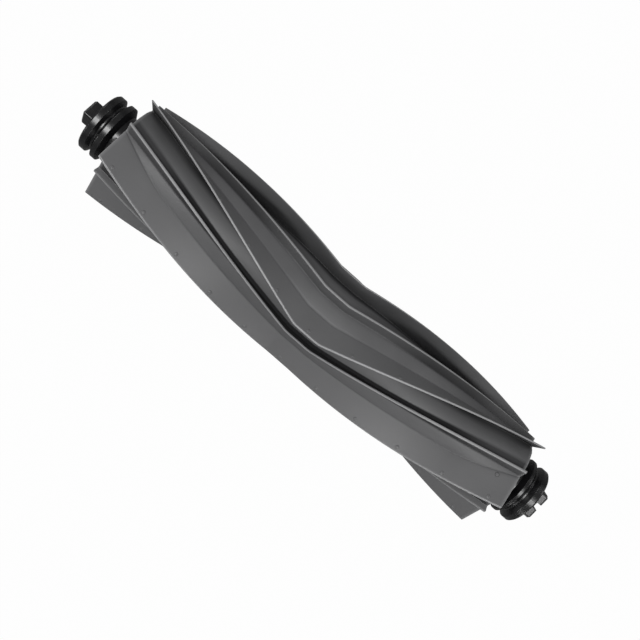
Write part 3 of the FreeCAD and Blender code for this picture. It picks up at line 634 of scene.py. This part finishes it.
def ball_mesh(size):
    """Separate balls on one circle round the axis.

    Each is a sphere: rings at even angles from pole to pole, of sine radius at cosine height along X,
    closed by a fan at each pole.
    """
    rings, spokes = 23, 32
    tilt = np.linspace(0, np.pi, rings + 2)[1:-1, None]
    spin = even_turns(spokes)
    ring = np.stack([
        -np.cos(tilt) * np.ones(spokes), np.sin(tilt) * np.cos(spin), np.sin(tilt) * np.sin(spin),
    ], axis=-1).reshape(-1, 3)
    unit = np.concatenate([ring, [[-1.0, 0.0, 0.0], [1.0, 0.0, 0.0]]])
    low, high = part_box("bearing_balls")
    along = np.full(size.ball_count, (low.x + high.x) / 2)
    middle = np.column_stack([along, polar(size.ball_pitch, even_turns(size.ball_count))])
    points = middle[:, None] + size.ball_radius * unit
    offset = (np.arange(size.ball_count) * len(unit))[:, None, None]
    quads = (ring_quads(rings, spokes) + offset).reshape(-1, 4)
    triangles = (closing_fans(rings, spokes, len(ring), len(ring) + 1) + offset).reshape(-1, 3)
    smooth = np.ones(len(quads) + len(triangles), bool)
    return fill_mesh("polished_balls", points.reshape(-1, 3), quads, triangles, smooth)


def put(tree, kind, settings=None, values=None):
    """A new node with its settings and socket values."""
    node = tree.nodes.new(kind)
    for key, value in (settings or {}).items():
        setattr(node, key, value)
    for key, value in (values or {}).items():
        node.inputs[key].default_value = value
    return node


def wire(tree, source, output, target, entry):
    """Links an output of one node to an input of another."""
    tree.links.new(source.outputs[output], target.inputs[entry])


def new_group(name, values, outputs):
    """An empty shader group on coordinates and plain values, and its input and output nodes."""
    tree = bpy.data.node_groups.new(name, "ShaderNodeTree")
    tree.interface.new_socket(name="Coordinates", in_out="INPUT", socket_type="NodeSocketVector")
    for label, default in values.items():
        socket = tree.interface.new_socket(name=label, in_out="INPUT", socket_type="NodeSocketFloat")
        socket.default_value = default
    for label, kind in outputs.items():
        tree.interface.new_socket(name=label, in_out="OUTPUT", socket_type=f"NodeSocket{kind}")
    return tree, tree.nodes.new("NodeGroupInput"), tree.nodes.new("NodeGroupOutput")


def moulded_skin_group():
    """Fine moulding grain and broad cloudy tone, both from noise on the given coordinates."""
    if "moulded_skin" in bpy.data.node_groups:
        return bpy.data.node_groups["moulded_skin"]
    tree, source, result = new_group(
        "moulded_skin", {"Grain Scale": 4000.0, "Cloud Scale": 60.0},
        {"Grain": "Float", "Cloud": "Float"},
    )
    grain = put(tree, "ShaderNodeTexNoise", values={"Detail": 3.0, "Roughness": 0.6})
    cloud = put(tree, "ShaderNodeTexNoise", values={"Detail": 4.0, "Roughness": 0.55})
    spread = put(tree, "ShaderNodeMapRange", values={"From Min": 0.32, "From Max": 0.68})
    wire(tree, source, "Coordinates", grain, "Vector")
    wire(tree, source, "Grain Scale", grain, "Scale")
    wire(tree, source, "Coordinates", cloud, "Vector")
    wire(tree, source, "Cloud Scale", cloud, "Scale")
    wire(tree, grain, "Fac", result, "Grain")
    wire(tree, cloud, "Fac", spread, "Value")
    wire(tree, spread, "Result", result, "Cloud")
    return tree


def soft_edge_group():
    """A normal rounded over sharp edges, and a mask of those edges broken up by noise."""
    if "soft_edge" in bpy.data.node_groups:
        return bpy.data.node_groups["soft_edge"]
    tree, source, result = new_group(
        "soft_edge", {"Radius": 0.15 * MM, "Break Up": 900.0}, {"Normal": "Vector", "Edge": "Float"}
    )
    bevel = put(tree, "ShaderNodeBevel", {"samples": 12})
    surface = put(tree, "ShaderNodeNewGeometry")
    match = put(tree, "ShaderNodeVectorMath", {"operation": "DOT_PRODUCT"})
    turned = put(tree, "ShaderNodeMapRange", values={"From Min": 0.995, "From Max": 0.82})
    noise = put(tree, "ShaderNodeTexNoise", values={"Detail": 4.0, "Roughness": 0.65})
    patch = put(tree, "ShaderNodeMapRange", values={"From Min": 0.35, "From Max": 0.6, "To Min": 0.25})
    mask = put(tree, "ShaderNodeMath", {"operation": "MULTIPLY"})
    wire(tree, source, "Radius", bevel, "Radius")
    wire(tree, bevel, "Normal", match, 0)
    wire(tree, surface, "Normal", match, 1)
    wire(tree, match, "Value", turned, "Value")
    wire(tree, source, "Coordinates", noise, "Vector")
    wire(tree, source, "Break Up", noise, "Scale")
    wire(tree, noise, "Fac", patch, "Value")
    wire(tree, turned, "Result", mask, 0)
    wire(tree, patch, "Result", mask, 1)
    wire(tree, bevel, "Normal", result, "Normal")
    wire(tree, mask, "Value", result, "Edge")
    return tree


def turned_lines_group():
    """Fine rings round the roller's axis, from noise stretched along the way round."""
    if "turned_lines" in bpy.data.node_groups:
        return bpy.data.node_groups["turned_lines"]
    tree, source, result = new_group("turned_lines", {"Scale": 9000.0}, {"Lines": "Float"})
    split = put(tree, "ShaderNodeSeparateXYZ")
    flat = put(tree, "ShaderNodeCombineXYZ")
    radius = put(tree, "ShaderNodeVectorMath", {"operation": "LENGTH"})
    ring = put(tree, "ShaderNodeCombineXYZ")
    noise = put(tree, "ShaderNodeTexNoise", values={"Detail": 2.0})
    wire(tree, source, "Coordinates", split, "Vector")
    wire(tree, split, "Y", flat, "Y")
    wire(tree, split, "Z", flat, "Z")
    wire(tree, flat, "Vector", radius, 0)
    wire(tree, split, "X", ring, "X")
    wire(tree, radius, "Value", ring, "Y")
    wire(tree, ring, "Vector", noise, "Vector")
    wire(tree, source, "Scale", noise, "Scale")
    wire(tree, noise, "Fac", result, "Lines")
    return tree


def new_material(name):
    """A material with a Principled shader, its output and object coordinates."""
    material = bpy.data.materials.new(name)
    material.use_nodes = True
    tree = material.node_tree
    tree.nodes.clear()
    shader = tree.nodes.new("ShaderNodeBsdfPrincipled")
    output = tree.nodes.new("ShaderNodeOutputMaterial")
    place = tree.nodes.new("ShaderNodeTexCoord")
    wire(tree, shader, "BSDF", output, "Surface")
    return material, tree, shader, place.outputs["Object"]


def put_group(tree, group, coordinates, values):
    """A group node on the object coordinates with its own values."""
    node = put(tree, "ShaderNodeGroup", {"node_tree": group}, values)
    tree.links.new(coordinates, node.inputs["Coordinates"])
    return node


def mix_colours(tree, factor, first, second):
    """A blend from the first colour to the second by a factor; either is a socket or plain numbers."""
    node = put(tree, "ShaderNodeMix", {"data_type": "RGBA"})
    tree.links.new(factor, node.inputs["Factor"])
    for socket, value in (("A", first), ("B", second)):
        entry = next(s for s in node.inputs if s.name == socket and s.type == "RGBA")
        if isinstance(value, bpy.types.NodeSocket):
            tree.links.new(value, entry)
        else:
            entry.default_value = (*value, 1.0)
    return next(s for s in node.outputs if s.type == "RGBA")


def spread_values(tree, value, low, high):
    """A value from 0 to 1 carried to the range from low to high."""
    node = put(tree, "ShaderNodeMapRange", values={"To Min": low, "To Max": high})
    tree.links.new(value, node.inputs["Value"])
    return node.outputs["Result"]


def shade(rgb, factor):
    """A colour made darker or lighter by a factor."""
    return tuple(min(1.0, part * factor) for part in rgb)


def cover(tree, shader, tint, rough, height, strength, depth, normal=None):
    """Gives a shader its tint, roughness and bump, over a rounded normal where one is given."""
    bump = put(tree, "ShaderNodeBump", values={"Strength": strength, "Distance": depth})
    tree.links.new(tint, shader.inputs["Base Color"])
    tree.links.new(rough, shader.inputs["Roughness"])
    tree.links.new(height, bump.inputs["Height"])
    if normal is not None:
        tree.links.new(normal, bump.inputs["Normal"])
    wire(tree, bump, "Normal", shader, "Normal")


def rubber_material(finish):
    """Dark grey rubber: cloudy tone, fine grain, painted light on tips, edges and faces, duller painted
    shade in the creases.
    """
    material, tree, shader, place = new_material("dark_grey_rubber")
    skin = put_group(tree, moulded_skin_group(), place, {"Grain Scale": 5200.0, "Cloud Scale": 45.0})
    cloud = skin.outputs["Cloud"]
    # Masks of the painted light and of the painted shade.
    painted_light = put(tree, "ShaderNodeAttribute", {"attribute_name": "painted_light"})
    painted_shade = put(tree, "ShaderNodeAttribute", {"attribute_name": "painted_shade"})
    body = mix_colours(tree, cloud, shade(finish.rubber, 0.93), shade(finish.rubber, 1.07))
    # Painted shade, then painted highlight and light, over the body colour.
    shaded_body = mix_colours(tree, painted_shade.outputs["Fac"], body, finish.rubber_shade)
    tint = mix_colours(tree, painted_light.outputs["Fac"], shaded_body, finish.rubber_highlight)
    most_rough = finish.rubber_rough + finish.rubber_range
    rough = spread_values(tree, cloud, finish.rubber_rough, most_rough)
    dull = put(tree, "ShaderNodeMath", {"operation": "MULTIPLY_ADD"}, {1: finish.shade_dull})
    wire(tree, painted_shade, "Fac", dull, 0)
    tree.links.new(rough, dull.inputs[2])
    shader.inputs["Specular IOR Level"].default_value = finish.rubber_shine
    grain = skin.outputs["Grain"]
    cover(tree, shader, tint, dull.outputs["Value"], grain, strength=0.12, depth=0.04 * MM)
    return material


def plastic_material(name, body, scuff, gloss, edge_radius, shine=0.5):
    """Moulded plastic: rounded and scuffed edges, a faint cloud in the gloss and fine grain."""
    material, tree, shader, place = new_material(name)
    skin = put_group(tree, moulded_skin_group(), place, {"Grain Scale": 2600.0, "Cloud Scale": 120.0})
    edge = put_group(tree, soft_edge_group(), place, {"Radius": edge_radius, "Break Up": 700.0})
    cloud, grain = skin.outputs["Cloud"], skin.outputs["Grain"]
    tone = mix_colours(tree, cloud, shade(body, 0.85), shade(body, 1.15))
    tint = mix_colours(tree, edge.outputs["Edge"], tone, scuff)
    rough = spread_values(tree, cloud, gloss - 0.03, gloss + 0.04)
    shader.inputs["Specular IOR Level"].default_value = shine
    normal = edge.outputs["Normal"]
    cover(tree, shader, tint, rough, grain, strength=0.05, depth=0.02 * MM, normal=normal)
    return material


def steel_material(name, body, gloss, edge_radius):
    """Turned steel: rings round the axis in tone, gloss and bump, with bright rounded edges."""
    material, tree, shader, place = new_material(name)
    rings = put_group(tree, turned_lines_group(), place, {"Scale": 9000.0})
    edge = put_group(tree, soft_edge_group(), place, {"Radius": edge_radius, "Break Up": 1500.0})
    lines = rings.outputs["Lines"]
    tone = mix_colours(tree, lines, shade(body, 0.8), shade(body, 1.1))
    tint = mix_colours(tree, edge.outputs["Edge"], tone, shade(body, 1.3))
    rough = spread_values(tree, lines, gloss - 0.06, gloss + 0.08)
    shader.inputs["Metallic"].default_value = 1.0
    normal = edge.outputs["Normal"]
    cover(tree, shader, tint, rough, lines, strength=0.08, depth=0.01 * MM, normal=normal)
    return material


def dress(material, *nodes):
    """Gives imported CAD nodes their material."""
    for name in nodes:
        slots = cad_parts[name].data.materials
        slots.clear()
        slots.append(material)


class ROLLER_OT_finned_sleeve(bpy.types.Operator):
    """Build the chevron finned rubber sleeve in place of its plain CAD solid"""

    bl_idname = "roller.finned_sleeve"
    bl_label = "Finned sleeve"

    def execute(self, context):
        piece = sleeve_mesh(context.scene.roller_sleeve)
        piece.data.materials.append(rubber_material(context.scene.roller_finish))
        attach(piece, "roller")
        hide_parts("fin_sleeve")
        return {"FINISHED"}


class ROLLER_OT_spools(bpy.types.Operator):
    """Finish the two glossy black end caps and the core tube between them"""

    bl_idname = "roller.spools"
    bl_label = "End spools"

    def execute(self, context):
        finish = context.scene.roller_finish
        gloss = plastic_material(
            "gloss_black_plastic", finish.spool, finish.spool_scuff,
            gloss=finish.spool_rough, edge_radius=0.18 * MM, shine=finish.spool_shine,
        )
        dress(gloss, "drive_end_cap", "bearing_end_cap")
        scuff = shade(finish.core, 1.6)
        core = plastic_material("core_plastic", finish.core, scuff, gloss=0.42, edge_radius=0.1 * MM)
        dress(core, "core_tube")
        return {"FINISHED"}


class ROLLER_OT_still_end(bpy.types.Operator):
    """Finish the fork block, its pin, washer and clip"""

    bl_idname = "roller.still_end"
    bl_label = "Still end"

    def execute(self, context):
        finish = context.scene.roller_finish
        block = plastic_material(
            "fork_black_plastic", finish.block, finish.spool_scuff,
            gloss=finish.block_rough, edge_radius=0.2 * MM, shine=finish.block_shine,
        )
        dress(block, "end_block")
        pin = steel_material("pin_steel", finish.steel, gloss=0.28, edge_radius=0.08 * MM)
        dress(pin, "axle_pin", "retaining_clip")
        washer = steel_material("washer_steel", finish.shield, gloss=0.34, edge_radius=0.05 * MM)
        dress(washer, "thrust_washer")
        return {"FINISHED"}


class ROLLER_OT_ball_bearing(bpy.types.Operator):
    """Build the balls of the bearing and finish its races, shields and cage"""

    bl_idname = "roller.ball_bearing"
    bl_label = "Ball bearing"

    def execute(self, context):
        finish = context.scene.roller_finish
        race = steel_material("race_steel", finish.steel, gloss=0.2, edge_radius=0.1 * MM)
        dress(race, "bearing_inner_race", "bearing_outer_race")
        shield = steel_material("shield_steel", finish.shield, gloss=0.3, edge_radius=0.04 * MM)
        dress(shield, "bearing_inner_shield", "bearing_outer_shield")
        balls = ball_mesh(context.scene.roller_balls)
        polish = steel_material("ball_steel", finish.ball, gloss=0.1, edge_radius=0.05 * MM)
        balls.data.materials.append(polish)
        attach(balls, "ball_set")
        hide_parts("bearing_balls")
        scuff = shade(finish.nylon, 1.3)
        cage = plastic_material("cage_nylon", finish.nylon, scuff, gloss=0.45, edge_radius=0.06 * MM)
        dress(cage, "bearing_cage")
        return {"FINISHED"}


def sweep_mesh(stage, height):
    """A round pale sweep: flat out to half its radius, then rising by a smooth cubic to its rim."""
    rings, spokes, flat_share = 32, 96, 0.5
    share = np.linspace(0, 1, rings + 1)[1:]
    radius = (share * stage.floor_radius)[:, None]
    level = height + stage.floor_rise * smooth_share(share, flat_share, 1 - flat_share)
    spin = even_turns(spokes)
    points = np.stack([
        radius * np.cos(spin), radius * np.sin(spin), np.broadcast_to(level[:, None], (rings, spokes)),
    ], axis=-1).reshape(-1, 3)
    quads = ring_quads(rings, spokes)[:, ::-1]
    first = np.arange(spokes)
    fan = np.column_stack([first, (first + 1) % spokes, np.full(spokes, len(points))])
    points = np.concatenate([points, [[0.0, 0.0, height]]])
    return fill_mesh("pale_sweep", points, quads, fan, np.ones(len(quads) + len(fan), bool))


def sweep_material(stage):
    """Matte floor that keeps a faint shadow and reads as white to the camera."""
    material, tree, shader, place = new_material("pale_floor")
    skin = put_group(tree, moulded_skin_group(), place, {"Grain Scale": 400.0, "Cloud Scale": 3.0})
    pale = stage.floor_colour
    tone = mix_colours(tree, skin.outputs["Cloud"], shade(pale, 0.98), shade(pale, 1.02))
    path = put(tree, "ShaderNodeLightPath")
    white = put(tree, "ShaderNodeEmission", values={"Color": (1.0, 1.0, 1.0, 1.0), "Strength": 1.0})
    share = put(tree, "ShaderNodeMath", {"operation": "MULTIPLY"}, {1: stage.floor_white})
    blend = put(tree, "ShaderNodeMixShader")
    output = next(n for n in tree.nodes if n.type == "OUTPUT_MATERIAL")
    shader.inputs["Roughness"].default_value = 0.9
    shader.inputs["Specular IOR Level"].default_value = 0.1
    tree.links.new(tone, shader.inputs["Base Color"])
    wire(tree, path, "Is Camera Ray", share, 0)
    wire(tree, share, "Value", blend, "Fac")
    wire(tree, shader, "BSDF", blend, 1)
    wire(tree, white, "Emission", blend, 2)
    wire(tree, blend, "Shader", output, "Surface")
    return material


def add_lamp(name, turn, along, distance, width, height, power):
    """A soft rectangular lamp, turned round the roller's axis and set along it, facing its middle."""
    lamp = bpy.data.lights.new(name, "AREA")
    lamp.shape = "RECTANGLE"
    lamp.size, lamp.size_y = width, height
    lamp.energy = power
    holder = bpy.data.objects.new(name, lamp)
    holder.location = Vector((along, -distance * math.sin(turn), distance * math.cos(turn)))
    holder.rotation_euler = holder.location.to_track_quat("Z", "Y").to_euler()
    bpy.context.scene.collection.objects.link(holder)


def add_camera(stage):
    """The camera at its place, facing its aim, rolled so that the roller slants across the picture."""
    lens = bpy.data.cameras.new("picture_camera")
    lens.sensor_width = SENSOR_WIDTH
    lens.lens = stage.lens
    lens.clip_start, lens.clip_end = 0.01, 20.0
    camera = bpy.data.objects.new("picture_camera", lens)
    place, aim = Vector(stage.camera_place), Vector(stage.camera_aim)
    forward = (aim - place).normalized()
    right = forward.cross(Vector((0.0, 1.0, 0.0))).normalized()
    up = right.cross(forward)
    level = Matrix((right, up, -forward)).transposed()
    roll = Matrix.Rotation(-stage.camera_roll, 4, "Z")
    camera.matrix_world = Matrix.Translation(place) @ level.to_4x4() @ roll
    bpy.context.scene.collection.objects.link(camera)
    bpy.context.scene.camera = camera


class ROLLER_OT_studio(bpy.types.Operator):
    """Set the pale floor, soft lamps, dim surroundings and the camera"""

    bl_idname = "roller.studio"
    bl_label = "Studio"

    def execute(self, context):
        stage = context.scene.roller_stage
        floor = sweep_mesh(stage, CAD_LOW.z - stage.floor_gap)
        floor.data.materials.append(sweep_material(stage))
        reach, side = stage.lamp_distance, stage.pair_size
        width, height = stage.front_width, stage.front_height
        add_lamp("front_lamp", stage.front_angle, 0.0, reach, width, height, stage.front_power)
        for end, way in (("drive", -1), ("fork", 1)):
            near, far = way * stage.near_reach, way * stage.far_reach
            add_lamp(f"near_lamp_{end}", stage.near_angle, near, reach, side, side, stage.near_power)
            add_lamp(f"far_lamp_{end}", stage.far_angle, far, reach, side, side, stage.far_power)
        world = bpy.data.worlds.new("dim_room")
        world.use_nodes = True
        background = world.node_tree.nodes["Background"]
        background.inputs["Color"].default_value = (1.0, 1.0, 1.0, 1.0)
        background.inputs["Strength"].default_value = stage.surround
        context.scene.world = world
        context.scene.view_settings.view_transform = "Standard"
        add_camera(stage)
        return {"FINISHED"}


class ROLLER_PT_panel(bpy.types.Panel):
    """Roller brush tools in the sidebar"""

    bl_idname = "ROLLER_PT_panel"
    bl_label = "Roller brush"
    bl_space_type = "VIEW_3D"
    bl_region_type = "UI"
    bl_category = "Roller"

    def draw(self, context):
        for operator in OPERATORS:
            self.layout.operator(operator.bl_idname)


GROUPS = {
    "roller_sleeve": RollerSleeveSizes, "roller_balls": RollerBallSizes,
    "roller_finish": RollerFinish, "roller_stage": RollerStage,
}
OPERATORS = (
    ROLLER_OT_finned_sleeve, ROLLER_OT_spools, ROLLER_OT_still_end, ROLLER_OT_ball_bearing,
    ROLLER_OT_studio,
)
CLASSES = (*GROUPS.values(), *OPERATORS, ROLLER_PT_panel)


def register():
    """Registers the classes and hangs their sizes on the scene."""
    for entry in CLASSES:
        bpy.utils.register_class(entry)
    for name, group in GROUPS.items():
        setattr(bpy.types.Scene, name, bpy.props.PointerProperty(type=group))


def unregister():
    """Takes the sizes off the scene and unregisters the classes."""
    for name in GROUPS:
        delattr(bpy.types.Scene, name)
    for entry in reversed(CLASSES):
        bpy.utils.unregister_class(entry)


def main():
    """Builds every piece and the studio."""
    register()
    bpy.ops.roller.finned_sleeve()
    bpy.ops.roller.spools()
    bpy.ops.roller.still_end()
    bpy.ops.roller.ball_bearing()
    bpy.ops.roller.studio()


if __name__ == "__main__":
    main()
